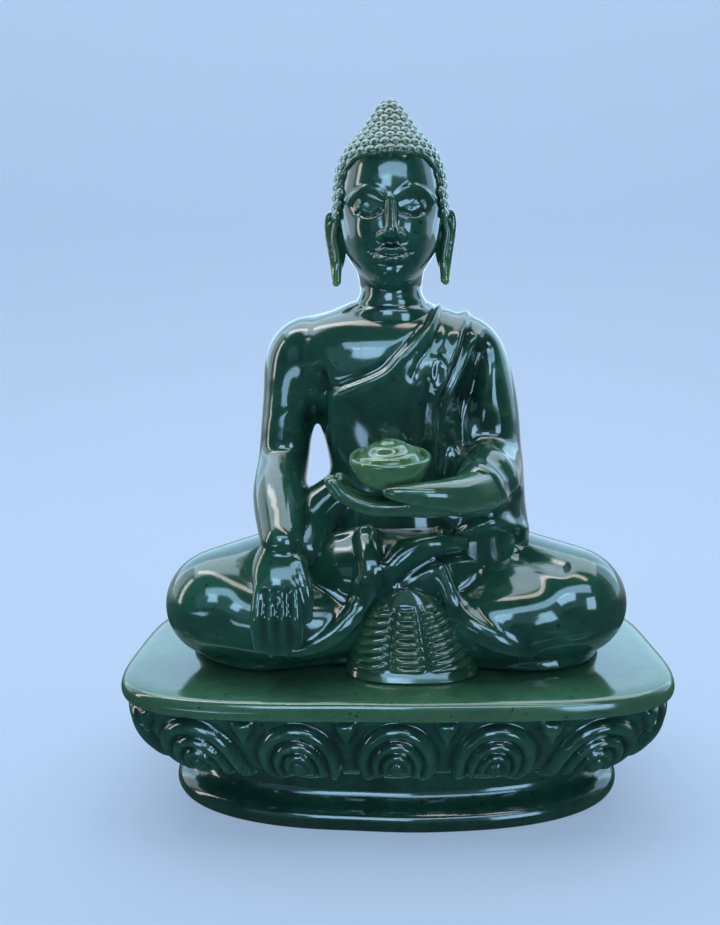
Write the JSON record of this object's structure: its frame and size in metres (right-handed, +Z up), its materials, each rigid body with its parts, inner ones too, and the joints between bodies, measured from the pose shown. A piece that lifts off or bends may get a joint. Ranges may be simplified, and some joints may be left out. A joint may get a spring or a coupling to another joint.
{
  "type": "seated stone figurine",
  "caption": "Polished green stone figurine: a robed figure seated cross-legged on an oval lotus base, one hand lowered to the ground and the other holding a bowl.",
  "frame": {"origin": "centre of the flat underside of the base", "axes": "+Z up along the figure, the figure faces -Y, its right hand is at -X"},
  "size_m": [0.158, 0.083, 0.2001],
  "materials": {
    "deep_green_stone": "polished",
    "bright_green_stone": "polished"
  },
  "bodies": {
    "root": {"foot_plinth": "deep_green_stone", "lotus_band": "deep_green_stone", "deck": "deep_green_stone", "petal_01": "deep_green_stone", "petal_02": "deep_green_stone", "petal_03": "deep_green_stone", "petal_04": "deep_green_stone", "petal_05": "deep_green_stone", "petal_06": "deep_green_stone", "petal_07": "deep_green_stone", "petal_08": "deep_green_stone", "petal_09": "deep_green_stone", "petal_10": "deep_green_stone", "petal_11": "deep_green_stone", "petal_12": "deep_green_stone", "petal_13": "deep_green_stone", "petal_14": "deep_green_stone", "robe_hem": "deep_green_stone", "lap": "deep_green_stone", "right_leg": "deep_green_stone", "left_leg": "deep_green_stone", "robe_fan": "deep_green_stone", "right_robe_fold": "deep_green_stone", "left_robe_fold": "deep_green_stone", "torso": "deep_green_stone", "robe_collar": "deep_green_stone", "robe_sash": "deep_green_stone", "head": "deep_green_stone", "neck": "deep_green_stone", "hair_cap": "deep_green_stone", "topknot": "deep_green_stone", "right_upper_arm": "deep_green_stone", "left_upper_arm": "deep_green_stone", "right_forearm": "deep_green_stone", "left_forearm": "deep_green_stone", "left_sleeve": "deep_green_stone", "right_hand": "deep_green_stone", "right_ear": "bright_green_stone", "left_ear": "bright_green_stone", "left_hand": "bright_green_stone", "alms_bowl": "bright_green_stone", "bowl_offering": "bright_green_stone"}
  },
  "joints": []
}
